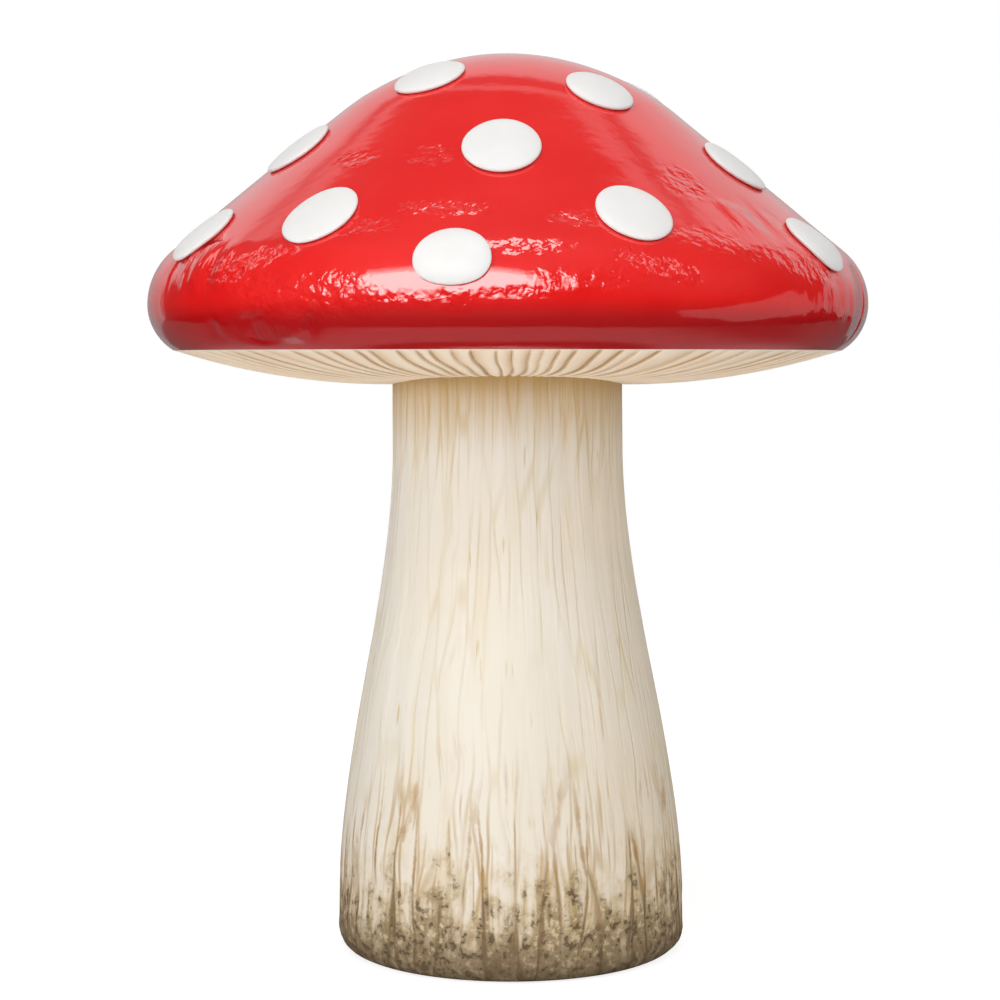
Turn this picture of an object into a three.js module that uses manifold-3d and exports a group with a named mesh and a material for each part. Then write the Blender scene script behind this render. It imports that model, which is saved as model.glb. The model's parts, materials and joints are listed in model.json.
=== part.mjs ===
// A hollow fibreglass toadstool figure: a red cap moulding and a cream gill moulding bonded at the rim,
// raised white spots bonded on the cap, and a stem of two half mouldings. A threaded rod through plywood
// boards clamps the cap on the stem and the stem on its foot.
// Units are millimetres, +Z is up, the front is -Y, and the origin is the centre of the foot on the floor.
import * as THREE from "three";
import { mergeVertices } from "three/addons/utils/BufferGeometryUtils.js";
import Module from "manifold-3d";

const wasm = await Module();
wasm.setup();

const { degToRad, lerp, smoothstep } = THREE.MathUtils;

// Walls and fits
const FIGURE_HEIGHT = 900;
const LAMINATE = 4; // wall of every fibreglass moulding
const FIT_GAP = 0.3; // between pieces that bear on each other or are bonded
const GLUE_FILM = 0.8; // adhesive under a spot, and resin under a tape

// Cap
const CAP_RADIUS = 360;
const RIM_HEIGHT = 650; // floor to the widest part of the cap
const CROWN_RADIUS = 268; // round top of the cap
const RIM_TOP_RADIUS = 69; // round from the straight flank to the widest part
const RIM_UNDER_RADIUS = 52.5; // round from the widest part to the lip
const RIM_UNDER_ANGLE = degToRad(59); // how far the rim rolls under

// Gills
const GILL_COUNT = 72;
const GILL_DEPTH = 5;
const GROOVE_FADE = 0.75; // share of that depth that a groove has lost at the lip
const GILL_DROP = 34.5; // how far the gills hang below the cap's lip
const GILL_ARCH = 12; // extra height of the gills at the front and back of the stem
const HUB_RADIUS = 150; // thickened seat around the stem
const STEM_HOLE_CLEARANCE = 0.5;

// Stem
const NECK_RADIUS = 116;
const NECK_LENGTH = 84; // straight length under the cap
const FOOT_RADIUS = 175;
const FOOT_STRAIGHT = 4; // straight wall above the base board
const FOOT_ROUND = 20;
const FOOT_LIP = 27; // flat ring that the figure stands on

// Boards
const FOOT_BOARD_THICKNESS = 24;
const BASE_BOARD_THICKNESS = 18;
const CAP_BOARD_THICKNESS = 15;
const CAP_BOARD_RADIUS = 145;
const PLUG_THICKNESS = 18; // disc under the cap board that centres the cap in the stem
const NUT_POCKET_RADIUS = 26;

// Glass tapes over the joints, inside
const TAPE_THICKNESS = 2;
const SEAM_TAPE_WIDTH = 60;
const SEAM_TAPE_END_GAP = 12;
const RIM_TAPE_ROLL = degToRad(32); // stretch of the rim that the tape covers
const RIM_TAPE_WIDTH = 40; // stretch of the gills that it covers

// Fasteners
const ROD_RADIUS = 8;
const ROD_HOLE_CLEARANCE = 0.5;
const ROD_END = 4; // rod standing past each nut
const NUT_ACROSS_FLATS = 24;
const NUT_HEIGHT = 13;
const WASHER_RADIUS = 20;
const WASHER_THICKNESS = 3;
const ANCHOR_COUNT = 4;
const ANCHOR_CIRCLE_RADIUS = 100;
const ANCHOR_RADIUS = 7;
const ANCHOR_BORE_RADIUS = 4.25;
const ANCHOR_LENGTH = 20;

// Spots: azimuth in degrees from the front, positive towards +X, share of the way along the cap from the
// crown to its widest part, width as a share of the usual diameter, and length down the cap for that width
const SPOT_DIAMETER = 72;
const SPOT_HEIGHT = 7;
const SPOT_FULLNESS = 0.6; // 1 is an elliptic dome, and less is a flatter top with steeper sides
const SPOTS = [
  { azimuth: 160, along: 0.196, size: 0.97 },
  { azimuth: -34.5, along: 0.301, size: 0.97 },
  { azimuth: 34, along: 0.362, size: 0.94 },
  { azimuth: 108, along: 0.327, size: 1.03 },
  { azimuth: 178, along: 0.414, size: 0.97 },
  { azimuth: -110, along: 0.344, size: 1 },
  { azimuth: -1.5, along: 0.575, size: 1, stretch: 1.15 },
  { azimuth: 63.5, along: 0.606, size: 1 },
  { azimuth: 124, along: 0.615, size: 0.97 },
  { azimuth: -154, along: 0.584, size: 1.03 },
  { azimuth: -66, along: 0.545, size: 1 },
  { azimuth: -8, along: 0.915, size: 0.96, stretch: 0.82 },
  { azimuth: 21, along: 0.796, size: 0.97, stretch: 1.14 },
  { azimuth: 59.5, along: 0.862, size: 0.95 },
  { azimuth: 104, along: 0.741, size: 0.97 },
  { azimuth: 130, along: 0.898, size: 1.03 },
  { azimuth: 148, along: 0.78, size: 1 },
  { azimuth: 176, along: 0.889, size: 0.97 },
  { azimuth: -157, along: 0.837, size: 1 },
  { azimuth: -127, along: 0.907, size: 1.03 },
  { azimuth: -124, along: 0.632, size: 0.92 },
  { azimuth: -102, along: 0.796, size: 1 },
  { azimuth: -63, along: 0.833, size: 1 },
  { azimuth: -33, along: 0.797, size: 1, stretch: 1.12 },
];

// Facets
const CAP_STEPS = GILL_COUNT; // one facet of the cap for each gill, so that their edges run side by side
const STEM_STEPS = 40;
const BOLT_STEPS = 16;
const CHORD_ERROR = 0.65; // how far a facet may stand inside its profile arc
const TAPER_STEPS = 8;
const GILL_UNDER_SHARES = [0, 0.16, 0.4, 0.7]; // shares of the way from the stem to the lip
const GILL_OVER_SHARES = [0.7, 0.4];
const SPOT_STEPS = 16;
const SPOT_DOME_RINGS = 3;

// Materials
const redGelcoat = new THREE.MeshStandardMaterial({ color: 0xdc2a26, roughness: 0.22 });
const whiteResin = new THREE.MeshStandardMaterial({ color: 0xf3f1ee, roughness: 0.35 });
const creamGills = new THREE.MeshStandardMaterial({ color: 0xe0c8a6, roughness: 0.6 });
const stemPaint = new THREE.MeshStandardMaterial({ color: 0xece2cf, roughness: 0.7 });
const glassTape = new THREE.MeshStandardMaterial({ color: 0xb9b28f, roughness: 0.55 });
const plywood = new THREE.MeshStandardMaterial({ color: 0xb98d5a, roughness: 0.8 });
const zincSteel = new THREE.MeshStandardMaterial({ color: 0xa9abad, roughness: 0.4, metalness: 1 });

const figure = new THREE.Group();

// Adds one named piece to the figure.
function addPiece(name, geometry, material) {
  const piece = new THREE.Mesh(geometry, material);
  piece.name = name;
  figure.add(piece);
}

// Turns a profile of { r, z } points about the Z axis.
function turned(profile, steps) {
  const points = profile.map(({ r, z }) => new THREE.Vector2(r, z));
  return new THREE.LatheGeometry(points, steps).rotateX(Math.PI / 2);
}

// A turned ring of rectangular section.
function turnedRing(innerRadius, outerRadius, bottom, top, steps) {
  const corners = [
    { r: innerRadius, z: bottom },
    { r: outerRadius, z: bottom },
    { r: outerRadius, z: top },
    { r: innerRadius, z: top },
    { r: innerRadius, z: bottom },
  ];
  return turned(corners, steps);
}

// Points on an arc, with angles from the +Z direction towards +r.
function arc(centre, radius, from, to) {
  const largestTurn = 2 * Math.acos(1 - CHORD_ERROR / radius);
  const steps = Math.max(1, Math.ceil(Math.abs(to - from) / largestTurn));
  const points = [];
  for (let i = 0; i <= steps; i++) {
    const angle = from + ((to - from) * i) / steps;
    points.push({ r: centre.r + radius * Math.sin(angle), z: centre.z + radius * Math.cos(angle) });
  }
  return points;
}

// A geometry as a solid that can be joined and cut, and back again.
function solidOf(geometry) {
  const bare = geometry.clone();
  bare.deleteAttribute("normal");
  bare.deleteAttribute("uv");
  const merged = mergeVertices(bare, 1e-3);
  const vertProperties = merged.getAttribute("position").array;
  const triVerts = new Uint32Array(merged.index.array);
  return new wasm.Manifold(new wasm.Mesh({ numProp: 3, vertProperties, triVerts }));
}

function geometryOf(solid) {
  const mesh = solid.getMesh();
  const geometry = new THREE.BufferGeometry();
  geometry.setAttribute("position", new THREE.BufferAttribute(mesh.vertProperties, 3));
  geometry.setIndex(new THREE.BufferAttribute(mesh.triVerts, 1));
  geometry.computeVertexNormals();
  return geometry;
}

// A box between two corners, as a cutter.
function boxBetween(low, high) {
  const size = high.clone().sub(low);
  const middle = high.clone().add(low).multiplyScalar(0.5);
  const box = new THREE.BoxGeometry(size.x, size.y, size.z);
  return solidOf(box.translate(middle.x, middle.y, middle.z));
}

// Cap section: a crown arc and a rim arc joined by their common tangent, then a smaller arc rolled under
const crownCentre = { r: 0, z: FIGURE_HEIGHT - CROWN_RADIUS };
const rimTopCentre = { r: CAP_RADIUS - RIM_TOP_RADIUS, z: RIM_HEIGHT };
const rimUnderCentre = { r: CAP_RADIUS - RIM_UNDER_RADIUS, z: RIM_HEIGHT };
const centresApart = Math.hypot(rimTopCentre.r, rimTopCentre.z - crownCentre.z);
const centresTilt = Math.atan2(rimTopCentre.z - crownCentre.z, rimTopCentre.r);
const flankSlope = Math.asin((CROWN_RADIUS - RIM_TOP_RADIUS) / centresApart) - centresTilt;
const lipAngle = Math.PI / 2 + RIM_UNDER_ANGLE;
const crownLength = CROWN_RADIUS * flankSlope;
const flankLength = Math.sqrt(centresApart ** 2 - (CROWN_RADIUS - RIM_TOP_RADIUS) ** 2);
const capReach = crownLength + flankLength + RIM_TOP_RADIUS * (Math.PI / 2 - flankSlope);

// The cap's section from crown to lip, moved inwards by an inset.
function capProfile(inset) {
  return [
    ...arc(crownCentre, CROWN_RADIUS - inset, 0, flankSlope),
    ...arc(rimTopCentre, RIM_TOP_RADIUS - inset, flankSlope, Math.PI / 2),
    ...arc(rimUnderCentre, RIM_UNDER_RADIUS - inset, Math.PI / 2, lipAngle).slice(1),
  ];
}

// The point of the cap's section at a distance from the crown, with the angle of its normal.
function capFrame(distance) {
  if (distance <= crownLength) {
    const angle = distance / CROWN_RADIUS;
    return { ...arc(crownCentre, CROWN_RADIUS, angle, angle)[0], angle };
  }
  if (distance <= crownLength + flankLength) {
    const along = distance - crownLength;
    const start = arc(crownCentre, CROWN_RADIUS, flankSlope, flankSlope)[0];
    const r = start.r + along * Math.cos(flankSlope);
    return { r, z: start.z - along * Math.sin(flankSlope), angle: flankSlope };
  }
  const angle = flankSlope + (distance - crownLength - flankLength) / RIM_TOP_RADIUS;
  return { ...arc(rimTopCentre, RIM_TOP_RADIUS, angle, angle)[0], angle };
}

// Signed distance of a section point from the cap's outer surface above the lip, and the normal's angle.
function capDistance(r, z) {
  const crownAngle = Math.atan2(r - crownCentre.r, z - crownCentre.z);
  if (crownAngle <= flankSlope) {
    const apart = Math.hypot(r - crownCentre.r, z - crownCentre.z);
    return { apart: apart - CROWN_RADIUS, angle: crownAngle };
  }
  const rimAngle = Math.atan2(r - rimTopCentre.r, z - rimTopCentre.z);
  if (rimAngle >= flankSlope) {
    const apart = Math.hypot(r - rimTopCentre.r, z - rimTopCentre.z);
    return { apart: apart - RIM_TOP_RADIUS, angle: rimAngle };
  }
  const reach = r * Math.sin(flankSlope) + (z - crownCentre.z) * Math.cos(flankSlope);
  return { apart: reach - CROWN_RADIUS, angle: flankSlope };
}

function buildCapShell() {
  const outer = capProfile(0);
  const inner = capProfile(LAMINATE).reverse();
  addPiece("cap_shell", turned([...outer, ...inner].reverse(), CAP_STEPS), redGelcoat);
}

// Gill section: a shallow dish from the cap's lip down to the stem
const lipOuter = capProfile(0).at(-1);
const lipInner = capProfile(LAMINATE).at(-1);
const gillEdge = {
  r: lipOuter.r + FIT_GAP * Math.cos(lipAngle),
  z: lipOuter.z - FIT_GAP * Math.sin(lipAngle),
};
const gillTopEdge = {
  r: lipInner.r + FIT_GAP * Math.cos(lipAngle),
  z: lipInner.z - FIT_GAP * Math.sin(lipAngle),
};
const junctionHeight = lipOuter.z - GILL_DROP;
const hubSeat = junctionHeight + GILL_ARCH + GILL_DEPTH + LAMINATE; // flat top of the hub

// Heights of the stacked boards
const footBoardBottom = LAMINATE + FIT_GAP;
const footBoardTop = footBoardBottom + FOOT_BOARD_THICKNESS;
const baseBoardBottom = footBoardTop + FIT_GAP;
const baseBoardTop = baseBoardBottom + BASE_BOARD_THICKNESS;
const plugBottom = hubSeat - PLUG_THICKNESS;
const capBoardBottom = hubSeat + FIT_GAP;
const capBoardTop = capBoardBottom + CAP_BOARD_THICKNESS;
const rodHoleRadius = ROD_RADIUS + ROD_HOLE_CLEARANCE;

// Stem section: a straight foot, a smooth taper and a straight neck, up to the hub's seat
const taperStart = baseBoardTop + FOOT_STRAIGHT;
const taperEnd = hubSeat - NECK_LENGTH;

function stemRadius(z) {
  return FOOT_RADIUS + (NECK_RADIUS - FOOT_RADIUS) * smoothstep(z, taperStart, taperEnd);
}

const stemHoleRadius = stemRadius(junctionHeight) + STEM_HOLE_CLEARANCE;
const dishReach = gillEdge.r - stemHoleRadius;
const dishRadius = (dishReach ** 2 + GILL_DROP ** 2) / (2 * GILL_DROP);

// Share of the way from the stem to the lip, from 0 to 1.
function dishShare(r) {
  return (r - stemHoleRadius) / dishReach;
}

// Height of the gills' ridges. They arch up at the front and back of the stem.
function gillRidge(r, azimuth) {
  const sag = dishRadius - Math.sqrt(dishRadius ** 2 - (r - stemHoleRadius) ** 2);
  const arch = GILL_ARCH * Math.sin(azimuth) ** 2 * (1 - dishShare(r)) ** 2;
  return junctionHeight + sag + arch + gillEdge.z - lipOuter.z;
}

// Depth of the groove between two gills, which runs out towards the lip.
function grooveDepth(r) {
  return GILL_DEPTH * (1 - GROOVE_FADE * dishShare(r) ** 2);
}

// A point on the inside of the gill moulding, at a share of the way from the stem to the lip.
function gillOver(share, azimuth) {
  const r = stemHoleRadius + share * dishReach;
  return { r, z: gillRidge(r, azimuth) + grooveDepth(r) + LAMINATE };
}

// The gill moulding's section at one azimuth, as a closed loop from the stem outwards and back.
function gillLoop(azimuth, isGroove) {
  const under = GILL_UNDER_SHARES.map((share) => {
    const r = stemHoleRadius + share * dishReach;
    return { r, z: gillRidge(r, azimuth) + (isGroove ? grooveDepth(r) : 0) };
  });
  const chord = isGroove ? Math.cos(Math.PI / CAP_STEPS) : 1; // a groove ends at the middle of a cap facet
  const rise = isGroove ? grooveDepth(gillEdge.r) / LAMINATE : 0;
  const lip = {
    r: lerp(gillEdge.r, gillTopEdge.r, rise) * chord,
    z: lerp(gillEdge.z, gillTopEdge.z, rise),
  };
  const top = { r: gillTopEdge.r * chord, z: gillTopEdge.z };
  const over = GILL_OVER_SHARES.map((share) => gillOver(share, azimuth));
  const hub = [
    { r: HUB_RADIUS, z: hubSeat },
    { r: stemHoleRadius, z: hubSeat },
  ];
  return [...under, lip, top, ...over, ...hub];
}

function buildGillShell() {
  const steps = 2 * GILL_COUNT; // a ridge and a groove for each gill
  const positions = [];
  const index = [];
  let loopLength = 0;
  for (let j = 0; j < steps; j++) {
    const azimuth = (j / steps - 0.25) * 2 * Math.PI;
    const loop = gillLoop(azimuth, j % 2 === 1);
    loopLength = loop.length;
    for (const { r, z } of loop) positions.push(r * Math.cos(azimuth), r * Math.sin(azimuth), z);
  }
  for (let j = 0; j < steps; j++) {
    for (let i = 0; i < loopLength; i++) {
      const here = j * loopLength;
      const next = ((j + 1) % steps) * loopLength;
      const up = (i + 1) % loopLength;
      index.push(here + i, next + up, here + up, here + i, next + i, next + up);
    }
  }
  const geometry = new THREE.BufferGeometry();
  geometry.setAttribute("position", new THREE.Float32BufferAttribute(positions, 3));
  geometry.setIndex(index);
  geometry.computeVertexNormals();
  addPiece("gill_shell", geometry, creamGills);
}

// Glass tape inside the rim, over the joint of the cap and the gills.
function buildRimTape() {
  const far = gillOver(GILL_OVER_SHARES[0], Math.PI / 2);

  // The tape's section along the inside of the rim and the gills, at a height off them.
  function layer(lift) {
    const onRim = arc(rimUnderCentre, RIM_UNDER_RADIUS - LAMINATE - lift, lipAngle - RIM_TAPE_ROLL, lipAngle);
    const onGills = [0.5, 1].map((share) => {
      const along = (share * RIM_TAPE_WIDTH) / (gillTopEdge.r - far.r);
      return { r: lerp(gillTopEdge.r, far.r, along), z: lerp(gillTopEdge.z, far.z, along) + lift };
    });
    return [...onRim, ...onGills];
  }

  const bonded = layer(GLUE_FILM);
  const open = layer(GLUE_FILM + TAPE_THICKNESS).reverse();
  addPiece("rim_bond_tape", turned([...bonded, ...open, bonded[0]].reverse(), CAP_STEPS), glassTape);
}

// The stem's taper from foot to neck, moved inwards by an inset.
function stemTaper(inset) {
  return Array.from({ length: TAPER_STEPS + 1 }, (_, i) => {
    const z = lerp(taperStart, taperEnd, i / TAPER_STEPS);
    return { r: stemRadius(z) - inset, z };
  });
}

// The stem's whole wall from floor to seat, moved inwards by an inset.
function stemWall(inset) {
  const roundCentre = { r: FOOT_RADIUS - FOOT_ROUND, z: FOOT_ROUND };
  const round = arc(roundCentre, FOOT_ROUND - inset, Math.PI, Math.PI / 2);
  return [...round, ...stemTaper(inset), { r: NECK_RADIUS - inset, z: hubSeat }];
}

const footLipRadius = FOOT_RADIUS - FOOT_ROUND - FOOT_LIP; // inside edge of the ring on the floor

function buildStem() {
  const outer = [{ r: footLipRadius, z: 0 }, ...stemWall(0)];
  const inner = [{ r: footLipRadius, z: LAMINATE }, ...stemWall(LAMINATE)].reverse();
  const whole = solidOf(turned([...outer, ...inner, outer[0]], STEM_STEPS));
  const reach = 2 * FOOT_RADIUS;
  const halves = {
    stem_front_half: [-reach, -FIT_GAP / 2],
    stem_back_half: [FIT_GAP / 2, reach],
  };
  for (const [name, [low, high]] of Object.entries(halves)) {
    const side = boxBetween(
      new THREE.Vector3(-reach, low, -reach),
      new THREE.Vector3(reach, high, FIGURE_HEIGHT),
    );
    addPiece(name, geometryOf(whole.intersect(side)), stemPaint);
  }
}

// Glass tapes inside the stem, over the two seams of its halves.
function buildSeamTapes() {
  const top = plugBottom - SEAM_TAPE_END_GAP;
  const [bonded, open] = [GLUE_FILM, GLUE_FILM + TAPE_THICKNESS].map((lift) => {
    const inset = LAMINATE + lift;
    return [...stemTaper(inset), { r: NECK_RADIUS - inset, z: top }];
  });
  const ring = solidOf(turned([...bonded, ...open.reverse(), bonded[0]], STEM_STEPS));
  const half = SEAM_TAPE_WIDTH / 2;
  const sides = { seam_tape_left: [-FOOT_RADIUS, 0], seam_tape_right: [0, FOOT_RADIUS] };
  for (const [name, [low, high]] of Object.entries(sides)) {
    const strip = boxBetween(
      new THREE.Vector3(low, -half, 0),
      new THREE.Vector3(high, half, FIGURE_HEIGHT),
    );
    addPiece(name, geometryOf(ring.intersect(strip)), glassTape);
  }
}

// Places of the anchor inserts in the foot board.
function anchorPlaces() {
  return Array.from({ length: ANCHOR_COUNT }, (_, i) => {
    const azimuth = ((i + 0.5) / ANCHOR_COUNT) * 2 * Math.PI;
    return {
      x: ANCHOR_CIRCLE_RADIUS * Math.cos(azimuth),
      y: ANCHOR_CIRCLE_RADIUS * Math.sin(azimuth),
    };
  });
}

function buildBoards() {
  const footRadius = FOOT_RADIUS - FOOT_ROUND - FIT_GAP;
  let footBoard = solidOf(
    turnedRing(NUT_POCKET_RADIUS, footRadius, footBoardBottom, footBoardTop, STEM_STEPS),
  );
  const drillTop = footBoardBottom + ANCHOR_LENGTH + FIT_GAP;
  for (const { x, y } of anchorPlaces()) {
    const drill = turned(
      [
        { r: 0, z: 0 },
        { r: ANCHOR_RADIUS + FIT_GAP, z: 0 },
        { r: ANCHOR_RADIUS + FIT_GAP, z: drillTop },
        { r: 0, z: drillTop },
      ],
      BOLT_STEPS,
    );
    footBoard = footBoard.subtract(solidOf(drill.translate(x, y, 0)));
  }
  addPiece("foot_board", geometryOf(footBoard), plywood);

  const baseRadius = FOOT_RADIUS - LAMINATE - FIT_GAP;
  const base = turnedRing(rodHoleRadius, baseRadius, baseBoardBottom, baseBoardTop, STEM_STEPS);
  addPiece("base_board", base, plywood);

  const plugRadius = NECK_RADIUS - LAMINATE - FIT_GAP;
  const plug = turnedRing(rodHoleRadius, plugRadius, plugBottom, hubSeat, STEM_STEPS);
  addPiece("locating_plug", plug, plywood);

  const cap = turnedRing(rodHoleRadius, CAP_BOARD_RADIUS, capBoardBottom, capBoardTop, STEM_STEPS);
  addPiece("cap_board", cap, plywood);
}

// A hexagon nut on the Z axis, standing on a height.
function hexNut(bottom) {
  const corner = NUT_ACROSS_FLATS / 2 / Math.cos(Math.PI / 6);
  const outline = new THREE.Shape();
  for (let i = 0; i < 6; i++) {
    const angle = (i / 6) * 2 * Math.PI;
    if (i === 0) outline.moveTo(corner, 0);
    else outline.lineTo(corner * Math.cos(angle), corner * Math.sin(angle));
  }
  outline.closePath();
  const bore = new THREE.Path().absarc(0, 0, ROD_RADIUS + FIT_GAP, 0, 2 * Math.PI, true);
  outline.holes.push(bore);
  const settings = { depth: NUT_HEIGHT, bevelEnabled: false, curveSegments: BOLT_STEPS };
  return new THREE.ExtrudeGeometry(outline, settings).translate(0, 0, bottom);
}

// The rod, with a nut and a washer above the cap board and below the base board.
function buildTieRod() {
  const topWasherBottom = capBoardTop + FIT_GAP;
  const topNutBottom = topWasherBottom + WASHER_THICKNESS + FIT_GAP;
  const baseWasherTop = baseBoardBottom - FIT_GAP;
  const baseNutTop = baseWasherTop - WASHER_THICKNESS - FIT_GAP;
  const washerBottoms = { cap_washer: topWasherBottom, base_washer: baseWasherTop - WASHER_THICKNESS };
  for (const [name, bottom] of Object.entries(washerBottoms)) {
    const top = bottom + WASHER_THICKNESS;
    addPiece(name, turnedRing(rodHoleRadius, WASHER_RADIUS, bottom, top, BOLT_STEPS), zincSteel);
  }
  addPiece("cap_nut", hexNut(topNutBottom), zincSteel);
  addPiece("base_nut", hexNut(baseNutTop - NUT_HEIGHT), zincSteel);

  const rodTop = topNutBottom + NUT_HEIGHT + ROD_END;
  const rodBottom = baseNutTop - NUT_HEIGHT - ROD_END;
  const rod = new THREE.CylinderGeometry(ROD_RADIUS, ROD_RADIUS, rodTop - rodBottom, BOLT_STEPS);
  addPiece("tie_rod", rod.rotateX(Math.PI / 2).translate(0, 0, (rodTop + rodBottom) / 2), zincSteel);
}

function buildAnchorInserts() {
  anchorPlaces().forEach(({ x, y }, i) => {
    const top = footBoardBottom + ANCHOR_LENGTH;
    const insert = turnedRing(ANCHOR_BORE_RADIUS, ANCHOR_RADIUS, footBoardBottom, top, BOLT_STEPS);
    addPiece(`anchor_insert_${i + 1}`, insert.translate(x, y, 0), zincSteel);
  });
}

// The point of the cap's surface that lies along a direction from a point near it, with its normal there.
function landOnCap(point, direction) {
  const landed = point.clone();
  const normal = new THREE.Vector3();
  for (let pass = 0; pass < 4; pass++) {
    const r = Math.hypot(landed.x, landed.y);
    const { apart, angle } = capDistance(r, landed.z);
    const outwards = Math.sin(angle) / Math.max(r, 1e-6);
    normal.set(landed.x * outwards, landed.y * outwards, Math.cos(angle));
    landed.addScaledVector(direction, -apart / direction.dot(normal));
  }
  return { landed, normal };
}

// A domed disc whose underside follows the cap at the thickness of the adhesive.
function spotGeometry({ azimuth, along, size, stretch = 1 }) {
  const frame = capFrame(along * capReach);
  const radius = (size * SPOT_DIAMETER) / 2;
  const turn = degToRad(azimuth);
  const away = new THREE.Vector3(Math.sin(turn), -Math.cos(turn), 0);
  const centre = away.clone().multiplyScalar(frame.r).setZ(frame.z);
  const normal = away.clone().multiplyScalar(Math.sin(frame.angle)).setZ(Math.cos(frame.angle));
  const across = new THREE.Vector3(Math.cos(turn), Math.sin(turn), 0);
  const downhill = across.clone().cross(normal);
  const positions = [];

  // Adds one point at a distance from the spot's centre, in a direction, at a height off the cap.
  function addPoint(out, angle, height) {
    const start = centre.clone();
    start.addScaledVector(downhill, stretch * out * Math.cos(angle));
    start.addScaledVector(across, out * Math.sin(angle));
    const { landed, normal: surface } = landOnCap(start, normal);
    landed.addScaledVector(surface, GLUE_FILM + height);
    positions.push(landed.x, landed.y, landed.z);
  }

  const rings = [];
  for (let ring = 1; ring <= SPOT_DOME_RINGS + 1; ring++) {
    const tilt = (ring / (SPOT_DOME_RINGS + 1)) * (Math.PI / 2);
    const isBase = ring === SPOT_DOME_RINGS + 1;
    const out = radius * Math.sin(tilt) ** SPOT_FULLNESS;
    rings.push({ out, height: isBase ? 0 : SPOT_HEIGHT * Math.cos(tilt) ** SPOT_FULLNESS });
  }
  rings.push({ out: radius / 2, height: 0 });
  addPoint(0, 0, SPOT_HEIGHT);
  for (const { out, height } of rings) {
    for (let i = 0; i < SPOT_STEPS; i++) addPoint(out, (i / SPOT_STEPS) * 2 * Math.PI, height);
  }
  addPoint(0, 0, 0);

  const index = [];
  const last = 1 + rings.length * SPOT_STEPS;
  for (let i = 0; i < SPOT_STEPS; i++) {
    const next = (i + 1) % SPOT_STEPS;
    index.push(0, 1 + i, 1 + next);
    for (let ring = 0; ring < rings.length - 1; ring++) {
      const here = 1 + ring * SPOT_STEPS;
      const below = here + SPOT_STEPS;
      index.push(here + i, below + i, below + next, here + i, below + next, here + next);
    }
    const inner = last - SPOT_STEPS;
    index.push(inner + i, last, inner + next);
  }
  const geometry = new THREE.BufferGeometry();
  geometry.setAttribute("position", new THREE.Float32BufferAttribute(positions, 3));
  geometry.setIndex(index);
  geometry.computeVertexNormals();
  return geometry;
}

function buildSpots() {
  SPOTS.forEach((spot, i) => {
    addPiece(`spot_${String(i + 1).padStart(2, "0")}`, spotGeometry(spot), whiteResin);
  });
}

buildCapShell();
buildGillShell();
buildRimTape();
buildStem();
buildSeamTapes();
buildBoards();
buildTieRod();
buildAnchorInserts();
buildSpots();

export default figure;
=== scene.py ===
"""Looks of a hollow fibreglass toadstool figure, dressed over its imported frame.

Lengths are metres, +Z is up, the front is -Y, and the origin is the centre of the foot on the floor. Azimuths
are degrees from the front, positive towards +X. Places along the cap are shares of the way from the crown to
its widest part. Colours are linear.
"""

import json
import math

import bmesh
import bpy
import numpy as np
from mathutils import Matrix


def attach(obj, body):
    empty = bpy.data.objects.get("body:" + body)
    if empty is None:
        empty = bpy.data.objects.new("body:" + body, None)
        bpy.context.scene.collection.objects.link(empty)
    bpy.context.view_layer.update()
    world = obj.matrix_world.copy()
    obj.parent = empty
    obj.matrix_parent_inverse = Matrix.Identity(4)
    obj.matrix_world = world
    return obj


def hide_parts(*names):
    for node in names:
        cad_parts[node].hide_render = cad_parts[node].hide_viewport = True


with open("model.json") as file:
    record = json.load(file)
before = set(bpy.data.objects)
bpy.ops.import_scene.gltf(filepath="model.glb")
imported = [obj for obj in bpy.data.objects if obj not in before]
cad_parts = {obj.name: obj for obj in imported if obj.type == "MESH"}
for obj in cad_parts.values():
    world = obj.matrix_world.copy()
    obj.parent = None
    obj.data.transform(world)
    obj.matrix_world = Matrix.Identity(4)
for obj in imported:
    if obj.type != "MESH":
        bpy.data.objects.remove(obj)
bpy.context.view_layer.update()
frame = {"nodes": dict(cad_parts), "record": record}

# Cap
FIGURE_HEIGHT = 0.900
CAP_RADIUS = 0.360
RIM_HEIGHT = 0.650
CROWN_RADIUS = 0.268
RIM_TOP_RADIUS = 0.069
RIM_UNDER_RADIUS = 0.0525
RIM_UNDER_ANGLE = math.radians(59)
LAMINATE = 0.004

# Ripple of the hand-laid cap: size and height of its swells and dimples, and the plain band at the lip
SWELL_CELL = 0.11
SWELL_HEIGHT = 0.0018
DIMPLE_CELL = 0.032
DIMPLE_HEIGHT = 0.0002
PLAIN_LIP = 0.02

# Patches of uneven gelcoat: azimuth, place along the cap, and the patch's reach in degrees and along the cap
CRINKLES = [
    (-35, 0.990, 6, 0.032),
    (-24, 1.012, 9, 0.030),
    (-10, 1.010, 6, 0.018),
    (-26, 0.965, 5, 0.018),
    (1, 0.992, 7, 0.010),
    (11, 0.965, 7, 0.022),
    (3, 0.897, 6, 0.024),
    (-11, 0.775, 8, 0.025),
    (-24, 0.830, 6, 0.030),
    (11, 0.810, 5, 0.028),
    (17, 0.912, 3, 0.015),
    (22, 0.940, 3.5, 0.018),
    (26, 0.962, 3, 0.015),
    (31, 0.870, 5, 0.035),
    (37, 0.680, 5, 0.050),
    (42, 0.905, 7, 0.030),
    (54, 0.935, 7, 0.030),
    (-17, 0.600, 5, 0.035),
    (-36, 0.600, 5, 0.030),
    (-37, 0.905, 4, 0.022),
    (-46, 0.945, 7, 0.035),
]
STREAKS = [
    (47, 0.80, 9, 0.06),
    (66, 0.99, 16, 0.07),
    (-55, 0.92, 11, 0.06),
    (-38, 1.06, 12, 0.03),
]
PATCH_STRENGTH = 1.3
PATCH_GRAIN = 0.022  # size of the weaker and stronger places within a patch
PATCH_WEAKEST = 0.25
PATCH_STRONGEST = 1.75
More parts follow.
